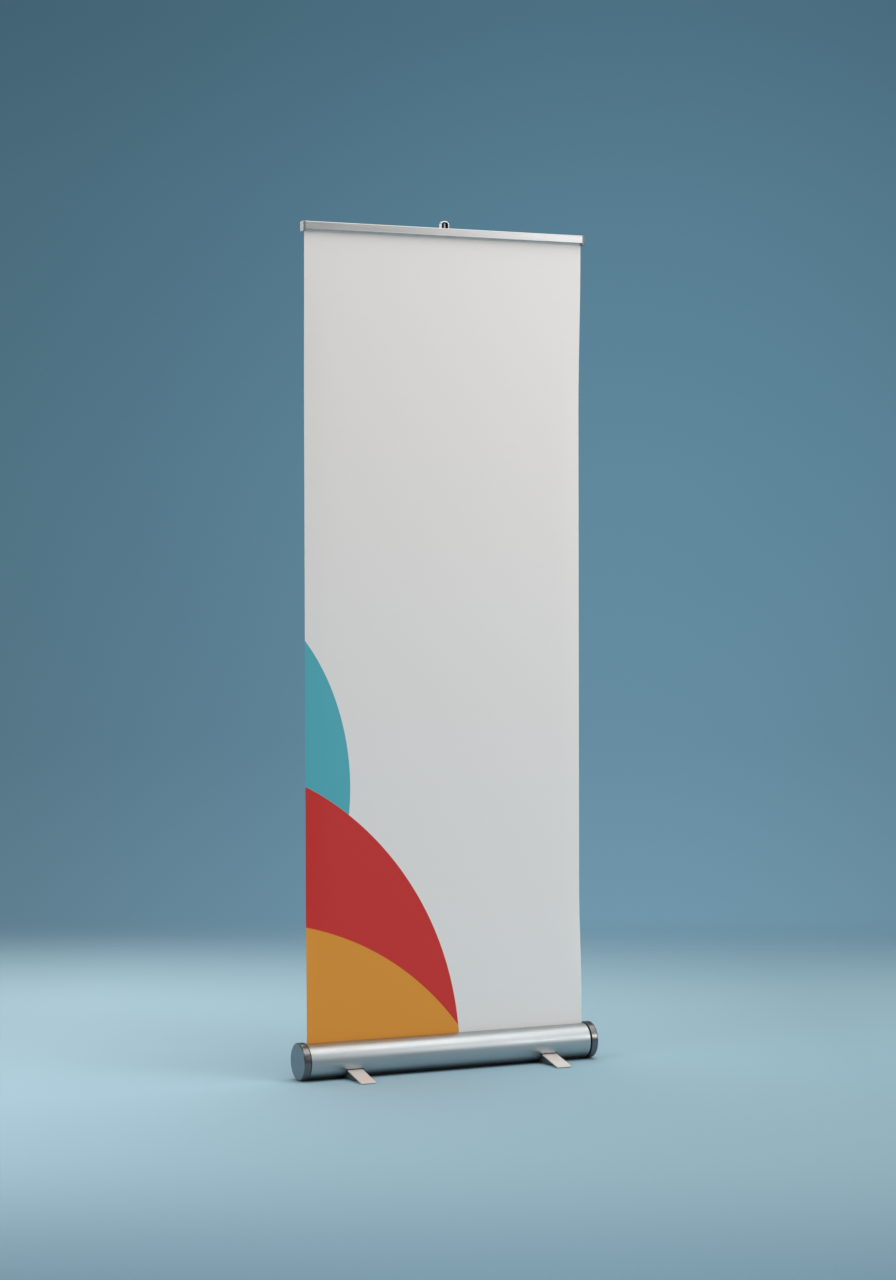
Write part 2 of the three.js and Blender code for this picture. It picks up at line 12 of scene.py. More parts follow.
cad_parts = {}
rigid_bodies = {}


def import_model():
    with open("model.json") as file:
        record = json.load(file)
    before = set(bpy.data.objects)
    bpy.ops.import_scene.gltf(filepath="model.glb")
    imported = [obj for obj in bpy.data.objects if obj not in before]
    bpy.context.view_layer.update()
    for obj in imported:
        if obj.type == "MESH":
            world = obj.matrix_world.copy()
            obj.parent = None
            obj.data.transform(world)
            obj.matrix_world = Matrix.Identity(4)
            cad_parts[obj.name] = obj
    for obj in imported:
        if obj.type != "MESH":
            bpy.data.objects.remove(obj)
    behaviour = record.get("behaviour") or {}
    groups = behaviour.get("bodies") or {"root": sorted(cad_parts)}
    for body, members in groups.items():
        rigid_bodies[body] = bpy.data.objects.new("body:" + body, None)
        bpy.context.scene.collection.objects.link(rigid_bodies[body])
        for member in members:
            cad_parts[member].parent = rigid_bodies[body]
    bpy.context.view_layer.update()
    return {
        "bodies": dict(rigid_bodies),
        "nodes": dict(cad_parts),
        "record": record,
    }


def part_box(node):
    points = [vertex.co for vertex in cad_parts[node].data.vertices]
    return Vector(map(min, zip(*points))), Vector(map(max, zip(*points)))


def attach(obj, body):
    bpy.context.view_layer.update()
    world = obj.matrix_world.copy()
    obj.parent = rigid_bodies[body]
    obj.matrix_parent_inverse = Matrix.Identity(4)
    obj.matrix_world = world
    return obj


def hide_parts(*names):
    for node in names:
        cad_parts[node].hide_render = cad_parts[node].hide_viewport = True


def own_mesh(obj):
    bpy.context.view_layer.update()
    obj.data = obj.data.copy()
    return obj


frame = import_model()

MM = 0.001
ON_AXIS = 1e-7  # a profile's point this near the axis becomes one vertex
SIDES = ((-1, "left"), (1, "right"))
FEET = ("front_left", "front_right", "rear_left", "rear_right")
BODY_OF = {
    node: body
    for body, nodes in frame["record"]["behaviour"]["bodies"].items()
    for node in nodes
}

# Cassette: the tube's overall size is read from the frame, and the rest repeats the CAD's.
TUBE_LOW, TUBE_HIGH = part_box("cassette_tube")
TUBE_RADIUS = (TUBE_HIGH.y - TUBE_LOW.y) / 2
AXIS_Z = TUBE_LOW.z + TUBE_RADIUS
TUBE_WALL = 2.0 * MM
SLOT_HALF = 3.5 * MM
LIP_THICK = 2.0 * MM
LIP_DEPTH = 7.8 * MM
LIP_ROUND = 0.5 * MM
PORT_ANGLES = (0, 250, 140)
PORT_RADIUS = 38.6 * MM
PORT_TIP = 34.5 * MM
PORT_HALF = 4.0 * MM
PORT_HOLE = 1.75 * MM
ROUND_WITHIN = 0.03 * MM  # a face whose corners are this near a wall's radius lies on that wall

# End caps: the plane of their open side, the depth of the hollow in it, the radii of the boss and
# of the hollow, and the roundings of the outer rim and of the back edge.
CAP_BACK = 407.55 * MM
CAP_HOLLOW = 5.2 * MM
CAP_BOSS = 6.0 * MM
CAP_BORE = 43.0 * MM
CAP_RIM = 3.2 * MM
CAP_LIP = 0.8 * MM

# Feet: the slope of their slots in the tube, and where the plates' upper faces meet it.
FOOT_X = 282 * MM
FOOT_SLOT_SLOPE = math.radians(14.9)
FOOT_START = Vector((0, -38.3 * MM, 24.37 * MM))
FOOT_SLOT_HALF = 24 * MM

POLE_Y = 19 * MM
POLE_WALL = 0.8 * MM
SOCKET_HOLE = 10.9 * MM  # in the tube, round the pole's socket

# Twist-lock collars: bores, grip lobes, and the levels at each end, as height and offset from the
# plain radius in mm, and the share of the lobes that shows there.
COLLAR_BORES = {"collar_lower": 8.3 * MM, "collar_mid": 7.0 * MM}
COLLAR_SEGMENTS = 144
COLLAR_LOBES = 12
LOBE_DEPTH = 0.5 * MM
LOBE_VALLEY = 0.6  # how far the valleys go below the plain radius, in lobe depths
LOBE_SWING = 1.6  # scales the wave that rises from the valleys, in lobe depths
LOBE_FULLNESS = 0.7  # the wave's exponent: below 1, the lobes are fuller than the valleys
COLLAR_END = ((0.0, -1.4, 0), (0.5, -0.6, 0), (1.4, 0.0, 0), (3.2, 0.0, 0), (4.4, 0.0, 1))

# Brush pile: the tufts' pitch and shape, and in mm how unevenly they stand and lean.
TUFT_PITCH = 1.6 * MM
TUFT_BASE = 1.6 * MM
TUFT_TIP = 0.5 * MM
TUFT_UNEVEN = 0.9
TUFT_LEAN = 0.25

GASKET_HEIGHT = 5.0 * MM  # of the pale lip along the jaw's lower edge

# Banner: its edges curl back a little where neither the rail nor the slot holds them flat. The curl
# grows from none to all of it between the two heights of each pair, in metres.
CURL_BACK = 8.6 * MM
CURL_IN = 2.0 * MM
CURL_WIDTH = 75 * MM
CURL_TOP = (2.165, 1.73)
CURL_LOW = (0.175, 0.46)

# Rows of the sheet: lowest and highest height and count where it curls low down, where it is
# straight and where it curls high up, and one more row near the slot and near the rail.
ROW_AT_SLOT = 0.094
ROWS_LOW = (0.12, 0.48, 19)
ROWS_MIDDLE = (0.54, 1.68, 20)
ROWS_HIGH = (1.72, 2.17, 19)
ROW_AT_RAIL = 2.182
EDGE_COLUMNS = 13
MIDDLE_COLUMNS = 25

# Print: three overlapping discs at the lower left, as centre x, centre z and radius in metres, in
# the top rail's own frame.
TEAL_DISC = (-0.932, 0.7505, 0.6559)
RED_DISC = (-0.781, 0.0335, 0.8171)
ORANGE_DISC = (-0.5709, -0.3443, 0.7569)
INK_EDGE = 0.25 * MM

# Camera: fitted to the outlines of the banner, the cassette and the feet. Metres, mm and angles.
CAMERA_PLACE = (-3.3012, -6.9505, 1.2929)
CAMERA_LENS = 82.46
CAMERA_YAW = math.radians(-25.44)
CAMERA_PITCH = math.radians(90 - 1.2215)
CAMERA_ROLL = math.radians(-0.137)

# Lamps' colours.
WHITE = (1.0, 1.0, 1.0)
WARM = (1.0, 0.955, 0.915)
WARMER = (1.0, 0.93, 0.87)

# Floor: colours at the view's left and right, the painted shadow's colour under the cassette, and distances in
# metres.
# These colours paint a pool of light: lighter at the view's left and farther back, darker at the right and
# nearer the camera.
FLOOR_FAR = ((163, 195, 209), (131, 164, 178))
FLOOR_NEAR = ((139, 171, 187), (125, 156, 170))
FLOOR_PAINTED_SHADOW = (40, 54, 62)
FLOOR_HALF = 9.0
FLOOR_FADE = (1.1, 3.6)
FLOOR_SIDE = 1.1
FLOOR_DEPTH = (-2.0, 0.3)
FLOOR_SQUEEZE = 0.55  # of distances across the view, so that the fade begins farther out there
FLOOR_POWER = 4  # shapes the fade's outline, between a circle at 2 and a square
# Across and along the cassette: where the painted shadow under it fades out.
PAINTED_SHADOW_DEPTH = (0.01, 0.042)
PAINTED_SHADOW_LENGTH = (0.40, 0.44)

# Backdrop: colours by the height of the view's direction, and a painted pool of light low at one side.
SKY = (
    (-0.30, (104, 140, 158)),
    (-0.117, (98, 132, 150)),
    (-0.056, (88, 122, 140)),
    (0.037, (83, 119, 137)),
    (0.127, (77, 112, 130)),
    (0.186, (70, 104, 121)),
    (0.6, (62, 94, 110)),
)
GLOW_STRETCH = (1.0, 1.0, 0.45)
GLOW_CENTRE = (0.4814, 0.8757, -0.016)
GLOW_RADIUS = 0.26
GLOW_LIFT = (1.36, 0.89)

# Soft light on the pieces, and what they mirror below and above the horizon.
AMBIENT = (0.545, 0.524, 0.512, 1.0)
AMBIENT_STRENGTH = (0.15, 1.35)
AMBIENT_HEIGHT = (-0.02, 0.5)
MIRRORED_LOW = (0.10, 0.17, 0.21, 1.0)
MIRRORED_HIGH = (0.17, 0.173, 0.175, 1.0)
MIRRORED_HEIGHT = (-0.06, 0.08)


def srgb(red, green, blue):
    """A linear colour from 0-255 sRGB values."""
    linear = []
    for value in (red, green, blue):
        c = value / 255
        linear.append(c / 12.92 if c <= 0.04045 else ((c + 0.055) / 1.055) ** 2.4)
    return (*linear, 1.0)


# ---------- node materials ----------


class Nodes:
    """A node tree under construction."""

    def __init__(self, tree):
        self.tree = tree

    def add(self, kind, **settings):
        node = self.tree.nodes.new(kind)
        for key, value in settings.items():
            setattr(node, key, value)
        return node

    def link(self, source, target):
        self.tree.links.new(source, target)

    def put(self, value, socket):
        """Links an output to a socket, or sets the socket to a plain value."""
        if isinstance(value, bpy.types.NodeSocket):
            self.link(value, socket)
        else:
            socket.default_value = value

    def stretched(self, scale, points):
        """Coordinates, multiplied by scale along each axis."""
        node = self.add("ShaderNodeVectorMath", operation="MULTIPLY")
        self.link(points, node.inputs[0])
        node.inputs[1].default_value = scale
        return node.outputs["Vector"]

    def distance(self, points, centre):
        node = self.add("ShaderNodeVectorMath", operation="DISTANCE")
        self.link(points, node.inputs[0])
        node.inputs[1].default_value = centre
        return node.outputs["Value"]

    def axes(self, points):
        """Coordinates as separate X, Y and Z outputs."""
        node = self.add("ShaderNodeSeparateXYZ")
        self.link(points, node.inputs["Vector"])
        return node.outputs

    def spread(self, value, low, high, start=0.3, end=0.7, kind="LINEAR"):
        """Maps a value from the range start to end, which suits noise, onto low to high."""
        node = self.add("ShaderNodeMapRange", interpolation_type=kind)
        self.link(value, node.inputs["Value"])
        node.inputs["From Min"].default_value = start
        node.inputs["From Max"].default_value = end
        node.inputs["To Min"].default_value = low
        node.inputs["To Max"].default_value = high
        return node.outputs["Result"]

    def math(self, operation, first, second=0.0):
        node = self.add("ShaderNodeMath", operation=operation)
        self.put(first, node.inputs[0])
        self.put(second, node.inputs[1])
        return node.outputs["Value"]

    def weighted(self, first, first_share, second, second_share):
        """Two values added in the given shares."""
        scaled = self.math("MULTIPLY", first, first_share)
        return self.math("ADD", scaled, self.math("MULTIPLY", second, second_share))

    def mix(self, factor, first, second):
        node = self.add("ShaderNodeMix", data_type="RGBA")
        self.link(factor, node.inputs["Factor"])
        self.put(first, node.inputs["A"])
        self.put(second, node.inputs["B"])
        return node.outputs["Result"]

    def mix_shader(self, factor, first, second):
        node = self.add("ShaderNodeMixShader")
        self.link(factor, node.inputs["Fac"])
        self.link(first, node.inputs[1])
        self.link(second, node.inputs[2])
        return node.outputs["Shader"]


class Look(Nodes):
    """A material under construction, which also sets the shader's own values."""

    def __init__(self, name):
        self.material = bpy.data.materials.new(name)
        self.material.use_nodes = True
        super().__init__(self.material.node_tree)
        self.shader = self.tree.nodes["Principled BSDF"]
        self.points = self.add("ShaderNodeTexCoord").outputs["Object"]

    def set(self, **values):
        for key, value in values.items():
            self.shader.inputs[key.replace("_", " ")].default_value = value

    def noise(self, scale, detail=3.0, roughness=0.55):
        """Noise with the given number of features per metre."""
        return self.noise_at(self.points, scale, detail, roughness)

    def streaks(self, scale, detail=3.0, roughness=0.55):
        """Noise with its own number of features per metre along each axis."""
        return self.noise_at(self.stretched(scale, self.points), 1.0, detail, roughness)

    def noise_at(self, points, scale, detail, roughness):
        node = self.add("ShaderNodeTexNoise")
        self.link(points, node.inputs["Vector"])
        node.inputs["Scale"].default_value = scale
        node.inputs["Detail"].default_value = detail
        node.inputs["Roughness"].default_value = roughness
        return node.outputs["Fac"]

    def colour(self, output):
        self.link(output, self.shader.inputs["Base Color"])

    def shades(self, value, colour, darkest, lightest):
        """The colour, varied by a noise value between two brightnesses."""
        share = self.spread(value, 0.0, 1.0)
        return self.mix(share, shade(colour, darkest), shade(colour, lightest))

    def roughness(self, output):
        self.link(output, self.shader.inputs["Roughness"])

    def bump(self, height, distance, strength=1.0, below=None):
        node = self.add("ShaderNodeBump")
        node.inputs["Strength"].default_value = strength
        node.inputs["Distance"].default_value = distance
        self.link(height, node.inputs["Height"])
        if below is not None:
            self.link(below, node.inputs["Normal"])
        self.link(node.outputs["Normal"], self.shader.inputs["Normal"])
        return node.outputs["Normal"]


def shade(colour, factor):
    return (colour[0] * factor, colour[1] * factor, colour[2] * factor, 1.0)


def extruded_metal(name, colour, roughness, along):
    """Anodised extrusion: fine die lines along one axis, and broad faint handling marks."""
    look = Look(name)
    look.set(Metallic=1.0)
    line_length, line_pitch = 7.0, 1500.0
    scale = tuple(line_length if axis == along else line_pitch for axis in "xyz")
    lines = look.streaks(scale, detail=2.0)
    marks = look.noise(9.0, detail=4.0, roughness=0.6)
    pits = look.noise(2600.0, detail=1.0)
    look.colour(look.shades(look.weighted(lines, 0.6, marks, 0.4), colour, 0.93, 1.05))
    line_gloss = look.spread(lines, roughness - 0.05, roughness + 0.05)
    look.roughness(look.math("ADD", line_gloss, look.spread(marks, -0.03, 0.05)))
    fine = look.bump(pits, 0.01 * MM, strength=0.5)
    look.bump(lines, 0.02 * MM, strength=0.5, below=fine)
    return look.material


def polished_metal(name, colour, roughness):
    """Turned or plated steel: fine scratches in every direction and a slightly uneven gloss."""
    look = Look(name)
    look.set(Metallic=1.0)
    scratches = look.streaks((900.0, 140.0, 900.0), detail=4.0, roughness=0.7)
    cloud = look.noise(60.0)
    look.colour(look.shades(cloud, colour, 0.9, 1.04))
    look.roughness(look.spread(scratches, roughness - 0.05, roughness + 0.09))
    look.bump(scratches, 0.015 * MM, strength=0.6)
    return look.material


def moulded_plastic(name, colour, roughness, grain=1100.0, depth=0.05 * MM):
    """Spark-eroded moulded plastic: a fine even grain with slightly uneven gloss."""
    look = Look(name)
    look.set(Specular_IOR_Level=0.5)
    skin = look.noise(grain, detail=2.0, roughness=0.6)
    cloud = look.noise(34.0)
    look.colour(look.shades(look.weighted(skin, 0.5, cloud, 0.5), colour, 0.86, 1.1))
    look.roughness(look.spread(cloud, roughness - 0.06, roughness + 0.08))
    look.bump(skin, depth, strength=0.7)
    return look.material


def powder_coat(name, colour, roughness, metallic):
    """Metallic powder coat: orange peel, and metal flakes that catch the light."""
    look = Look(name)
    look.set(Metallic=metallic, Coat_Weight=0.25, Coat_Roughness=0.3)
    peel = look.noise(420.0, detail=2.0, roughness=0.5)
    flakes = look.noise(3600.0, detail=1.0)
    cloud = look.noise(26.0, detail=4.0)
    look.colour(look.shades(look.weighted(flakes, 0.65, cloud, 0.35), colour, 0.84, 1.08))
    look.roughness(look.spread(flakes, roughness - 0.08, roughness + 0.1))
    look.bump(peel, 0.06 * MM, strength=0.6)
    return look.material


def rubber(name, colour):
    """Matt rubber with a pitted skin and a little dust."""
    look = Look(name)
    look.set(Specular_IOR_Level=0.3)
    skin = look.noise(700.0, detail=4.0, roughness=0.7)
    dust = look.noise(45.0, detail=4.0)
    look.colour(look.shades(dust, colour, 0.8, 1.5))
    look.roughness(look.spread(skin, 0.72, 0.95))
    look.bump(skin, 0.12 * MM, strength=0.8)
    return look.material


def bristle(name, colour):
    """Brush pile: upright strands side by side, lighter at random."""
    look = Look(name)
    look.set(Roughness=0.9, Sheen_Weight=0.4, Sheen_Roughness=0.5)
    strands = look.streaks((2800.0, 2800.0, 120.0), detail=2.0)
    look.colour(look.shades(strands, colour, 0.45, 1.9))
    look.bump(strands, 0.25 * MM)
    return look.material


def rail_points(look):
    """Coordinates that travel with the top rail, so that the print goes down with it."""
    node = look.add("ShaderNodeTexCoord", object=frame["bodies"]["top_rail"])
    return node.outputs["Object"]


def disc_mask(look, flat, disc):
    """1 inside a disc of the print and 0 outside it, with a crisp ink edge."""
    x, z, radius = disc
    away = look.distance(flat, (x, 0.0, z))
    return look.spread(away, 1.0, 0.0, radius - INK_EDGE, radius + INK_EDGE)


def film_texture(look, roughness):
    """The film's faint calendered texture, shared by both faces."""
    grain = look.noise(1400.0, detail=2.0, roughness=0.6)
    ripple = look.streaks((3.0, 3.0, 0.7), detail=2.0, roughness=0.4)
    look.roughness(look.spread(grain, roughness - 0.04, roughness + 0.06))
    soft = look.bump(ripple, 0.9 * MM, strength=0.35)
    look.bump(grain, 0.012 * MM, strength=0.5, below=soft)
    return grain


def printed_film(name):
    """The banner's front: white film, with the discs' inks laid over each other."""
    look = Look(name)
    look.set(Specular_IOR_Level=0.35)
    grain = film_texture(look, 0.55)
    flat = look.stretched((1.0, 0.0, 1.0), rail_points(look))
    share = look.spread(grain, 0.0, 1.0)
    white = look.shades(grain, srgb(240, 237, 235), 0.975, 1.015)
    teal = look.mix(share, srgb(84, 176, 190), srgb(88, 181, 195))
    red = look.mix(share, srgb(208, 50, 46), srgb(214, 52, 49))
    orange = look.mix(share, srgb(231, 151, 52), srgb(237, 156, 56))
    in_red = disc_mask(look, flat, RED_DISC)
    in_orange = look.math("MULTIPLY", in_red, disc_mask(look, flat, ORANGE_DISC))
    inks = look.mix(disc_mask(look, flat, TEAL_DISC), white, teal)
    inks = look.mix(in_red, inks, red)
    look.colour(look.mix(in_orange, inks, orange))
    return look.material


def film_back(name):
    look = Look(name)
    look.set(Specular_IOR_Level=0.3)
    grain = film_texture(look, 0.6)
    look.colour(look.shades(grain, srgb(197, 199, 200), 0.95, 1.03))
    return look.material


def make_looks():
    return {
        "tube": extruded_metal("satin_tube", srgb(183, 189, 192), 0.4, "x"),
        "rail": extruded_metal("satin_rail", srgb(170, 170, 170), 0.36, "x"),
        "pole": extruded_metal("satin_pole", srgb(214, 217, 219), 0.34, "z"),
        "steel": polished_metal("plain_steel", srgb(176, 180, 184), 0.34),
        # Bright steel like the hanger's, made darker and rougher to paint the shade on the tongue inside the
        # hood.
        "tongue": polished_metal("tongue_steel", srgb(148, 148, 148), 0.42),
        "bright": polished_metal("bright_steel", srgb(208, 208, 207), 0.34),
        "gunmetal": powder_coat("gunmetal_cap", srgb(114, 114, 115), 0.25, 1.0),
        # The caps' coat made lighter and bluer for their flat end faces: painted light and painted reflection
        # from the side.
        "cap_face_painted_light": powder_coat("gunmetal_face_painted_light", srgb(124, 141, 150), 0.32, 0.85),
        # Black plastic, made blacker than the other mouldings to paint the shade in the groove between the tube
        # and each cap.
        "plate": moulded_plastic("black_end_plate_painted_shade", srgb(17, 18, 20), 0.7),
        "black": moulded_plastic("black_moulding", srgb(38, 41, 44), 0.5),
        "bracket": moulded_plastic("grey_moulding", srgb(70, 78, 84), 0.5),
        "light": moulded_plastic("grey_end_cap", srgb(122, 123, 125), 0.42, 1300.0, 0.03 * MM),
        # The rail caps' grey plastic made much lighter for their end faces: painted light from the side.
        "end_face_painted_light": moulded_plastic("pale_end_face_painted_light", srgb(200, 199, 198), 0.42, 1300.0, 0.03 * MM),
        "gasket": moulded_plastic("jaw_gasket", srgb(208, 208, 207), 0.55),
        "rubber": rubber("black_rubber", srgb(40, 40, 42)),
        "felt": bristle("brush_pile", srgb(46, 48, 52)),
        "film": printed_film("printed_film"),
        "film_back": film_back("grey_film_back"),
        "paint": powder_coat("silver_powder_coat", srgb(226, 219, 214), 0.42, 0.35),
    }


# ---------- mesh helpers ----------


def link_mesh(name, vertices, faces):
    mesh = bpy.data.meshes.new(name)
    mesh.from_pydata([tuple(v) for v in vertices], [], faces)
    mesh.validate()
    piece = bpy.data.objects.new(name, mesh)
    bpy.context.scene.collection.objects.link(piece)
    return piece


def apply_modifiers(piece):
    depsgraph = bpy.context.evaluated_depsgraph_get()
    mesh = bpy.data.meshes.new_from_object(piece.evaluated_get(depsgraph), depsgraph=depsgraph)
    piece.modifiers.clear()
    piece.data = mesh


def fix_normals(piece):
    """Turns every face outwards."""
    work = bmesh.new()
    work.from_mesh(piece.data)
    bmesh.ops.recalc_face_normals(work, faces=work.faces)
    work.to_mesh(piece.data)
    work.free()


def bevel(piece, width, segments):
    """Rounds every edge that turns by more than a shallow angle."""
    modifier = piece.modifiers.new("bevel", "BEVEL")
    modifier.width = width
    modifier.segments = segments
    modifier.limit_method = "ANGLE"
    modifier.angle_limit = math.radians(28)
    modifier.use_clamp_overlap = True
    modifier.miter_outer = "MITER_ARC"
    apply_modifiers(piece)


def smooth(piece, sharp=38):
    """Smooth shading up to an angle, with normals weighted by area so that flat faces stay flat."""
    for polygon in piece.data.polygons:
        polygon.use_smooth = True
    piece.data.set_sharp_from_angle(angle=math.radians(sharp))
    modifier = piece.modifiers.new("weighted", "WEIGHTED_NORMAL")
    modifier.keep_sharp = True
    modifier.weight = 60
    apply_modifiers(piece)


def place(piece, node, slot, *materials):
    """Makes a piece stand for a CAD node: its body and its materials, and hides the node. The slot is not used.
    """
    piece.data.materials.clear()
    for material in materials:
        piece.data.materials.append(material)
    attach(piece, BODY_OF[node])
    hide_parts(node)
    return piece


def repaint(piece, material, wanted):
    """Gives another material to the faces that the test picks."""
    piece.data.materials.append(material)
    for polygon in piece.data.polygons:
        if wanted(polygon):
            polygon.material_index = len(piece.data.materials) - 1


def refined(node, slot, material, width, segments=3):
    """A finer piece from a CAD node's own shape: welded, with coplanar faces joined and edges rounded."""
    source = frame["nodes"][node].data
    faces = [tuple(polygon.vertices) for polygon in source.polygons]
    piece = link_mesh(node + "_fine", [v.co for v in source.vertices], faces)
    work = bmesh.new()
    work.from_mesh(piece.data)
    bmesh.ops.remove_doubles(work, verts=work.verts, dist=0.002 * MM)
    flat = math.radians(0.6)
    bmesh.ops.dissolve_limit(work, angle_limit=flat, verts=work.verts, edges=work.edges)
    bmesh.ops.recalc_face_normals(work, faces=work.faces)
    work.to_mesh(piece.data)
    work.free()
    bevel(piece, width, segments)
    smooth(piece)
    return place(piece, node, slot, material)


def arc(cx, cy, radius, start, end, steps):
    """Points on an arc, in degrees, both ends included."""
    angles = [math.radians(start + (end - start) * i / steps) for i in range(steps + 1)]
    return [(cx + radius * math.cos(a), cy + radius * math.sin(a)) for a in angles]


def band(size, a, b):
    """Faces between two closed rings of vertices, which start at a and b."""
    return [(a + k, a + (k + 1) % size, b + (k + 1) % size, b + k) for k in range(size)]


def extruded(name, section, start, end):
    """A closed section of (y, z) points, carried along X."""
    count = len(section)
    vertices = [(start, y, z) for y, z in section] + [(end, y, z) for y, z in section]
    faces = band(count, 0, count)
    faces += [tuple(reversed(range(count))), tuple(range(count, 2 * count))]
    piece = link_mesh(name, vertices, faces)
    fix_normals(piece)
    return piece


def turned(name, profile, segments, axis, centre):
    """A profile of (radius, height) points turned round an axis; a closed one makes a ring."""
    rings, vertices = [], []
    for radius, height in profile:
        if radius < ON_AXIS:
            rings.append([len(vertices)])
            vertices.append((0.0, 0.0, height))
            continue
        rings.append(list(range(len(vertices), len(vertices) + segments)))
        for k in range(segments):
            angle = 2 * math.pi * k / segments
            vertices.append((radius * math.cos(angle), radius * math.sin(angle), height))
    faces = []
    closing = [rings[0]] if profile[0][0] > ON_AXIS else []
    for low, high in zip(rings, rings[1:] + closing):
        for k in range(segments):
            n = (k + 1) % segments
            quad = [low[k % len(low)], low[n % len(low)], high[n % len(high)], high[k % len(high)]]
            faces.append(tuple(dict.fromkeys(quad)))
    faces = [face for face in faces if len(face) > 2]
    piece = link_mesh(name, vertices, faces)
    turn = Matrix.Rotation(math.pi / 2, 4, "Y") if axis == "x" else Matrix.Identity(4)
    piece.data.transform(Matrix.Translation(centre) @ turn)
    fix_normals(piece)
    return piece


def carve(piece, cutters):
    """Takes the cutters out of a piece, and deletes them."""
    for cutter in cutters:
        modifier = piece.modifiers.new("cut", "BOOLEAN")
        modifier.operation = "DIFFERENCE"
        modifier.solver = "EXACT"
        modifier.object = cutter
    apply_modifiers(piece)
    for cutter in cutters:
        bpy.data.objects.remove(cutter)


def block(name, low, high, matrix):
    (x0, y0, z0), (x1, y1, z1) = low, high
    corners = [(x, y, z) for x in (x0, x1) for y in (y0, y1) for z in (z0, z1)]
    faces = [(0, 1, 3, 2), (4, 6, 7, 5), (0, 4, 5, 1), (2, 3, 7, 6), (0, 2, 6, 4), (1, 5, 7, 3)]
    piece = link_mesh(name, corners, faces)
    piece.data.transform(matrix)
    fix_normals(piece)
    return piece


# ---------- cassette ----------


def tube_section():
    """The tube's outline: a round wall with a slot on top, two lips inside it and three screw ports."""
    inner = TUBE_RADIUS - TUBE_WALL
    slot = math.degrees(math.acos((SLOT_HALF + LIP_ROUND) / TUBE_RADIUS))
    lip_out = SLOT_HALF + LIP_THICK
    lip_angle = math.degrees(math.acos(lip_out / inner))
    lip_low = TUBE_RADIUS - LIP_DEPTH
    rim = math.sqrt(TUBE_RADIUS**2 - SLOT_HALF**2) - LIP_ROUND
    span = math.degrees(math.asin(PORT_HALF / inner))
    points = arc(0, 0, TUBE_RADIUS, 180 - slot, 360 + slot, 168)
    points += [
        (SLOT_HALF + 0.15 * LIP_ROUND, rim + 0.85 * LIP_ROUND),
        (SLOT_HALF, rim + 0.4 * LIP_ROUND),
        (SLOT_HALF, lip_low),
        (lip_out, lip_low),
    ]
    start = lip_angle
    for port in [a - 360 if a > 0 else a for a in PORT_ANGLES]:
        steps = max(2, round((start - port) / 3))
        points += arc(0, 0, inner, start, port + span, steps)
        points += port_bump(port)
        start = port - span
    points += arc(0, 0, inner, start, -180 - lip_angle, 16)
    points += [
        (-lip_out, lip_low),
        (-SLOT_HALF, lip_low),
        (-SLOT_HALF, rim + 0.4 * LIP_ROUND),
        (-SLOT_HALF - 0.15 * LIP_ROUND, rim + 0.85 * LIP_ROUND),
    ]
    return [(y, z + AXIS_Z) for y, z in points]


def port_bump(angle):
    a = math.radians(angle)
    corners = ((PORT_TIP, PORT_HALF), (PORT_TIP, -PORT_HALF))
    return [
        (r * math.cos(a) - t * math.sin(a), r * math.sin(a) + t * math.cos(a)) for r, t in corners
    ]


def foot_slot_cutter(x, turn):
    """A slot through the tube's wall, a little steeper than the foot plate, which swings in it."""
    matrix = (
        Matrix.Translation((x, 0, 0))
        @ Matrix.Rotation(turn, 4, "Z")
        @ Matrix.Translation(FOOT_START)
        @ Matrix.Rotation(FOOT_SLOT_SLOPE, 4, "X")
    )
    outwards, inwards = 4 * MM, 14 * MM
    below, above = 3.6 * MM, 3.0 * MM
    low = (-FOOT_SLOT_HALF, -outwards, -below)
    high = (FOOT_SLOT_HALF, inwards, above)
    return block("cutter", low, high, matrix)


def socket_cutter():
    """An upright hole through the tube's upper wall, for the pole's socket."""
    low, high = 70 * MM, 110 * MM
    profile = [(0, low), (SOCKET_HOLE, low), (SOCKET_HOLE, high), (0, high)]
    return turned("cutter", profile, 64, "z", (0, POLE_Y, 0))


def port_cutter(angle):
    """A hole along the whole tube, for the end plates' screws."""
    a = math.radians(angle)
    centre = (0, PORT_RADIUS * math.cos(a), AXIS_Z + PORT_RADIUS * math.sin(a))
    reach = TUBE_HIGH.x + 1 * MM
    profile = [(0, -reach), (PORT_HOLE, -reach), (PORT_HOLE, reach), (0, reach)]
    return turned("cutter", profile, 24, "x", centre)


def radial_normals(piece):
    """Exact normals on the tube's round walls, and flat ones elsewhere."""
    mesh = piece.data
    radii = (TUBE_RADIUS, TUBE_RADIUS - TUBE_WALL)
    normals = [None] * len(mesh.loops)
    for polygon in mesh.polygons:
        polygon.use_smooth = True
        corners = [mesh.vertices[v].co for v in polygon.vertices]
        spokes = [Vector((0, c.y, c.z - AXIS_Z)) for c in corners]
        lengths = [spoke.length for spoke in spokes]
        is_round = abs(polygon.normal.x) < 0.1 and any(
            all(abs(length - radius) < ROUND_WITHIN for length in lengths) for radius in radii
        )
        for loop, spoke in zip(polygon.loop_indices, spokes):
            outward = spoke.normalized()
            facing = 1 if outward.dot(polygon.normal) > 0 else -1
            normals[loop] = outward * facing if is_round else polygon.normal
    mesh.normals_split_custom_set(normals)


def cassette_tube(looks):
    tube = extruded("cassette_shell", tube_section(), TUBE_LOW.x, TUBE_HIGH.x)
    cutters = [socket_cutter()]
    cutters += [foot_slot_cutter(x, turn) for x in (-FOOT_X, FOOT_X) for turn in (0, math.pi)]
    cutters += [port_cutter(angle) for angle in PORT_ANGLES]
    carve(tube, cutters)
    radial_normals(tube)
    place(tube, "cassette_tube", "cassette_aluminium", looks["tube"])


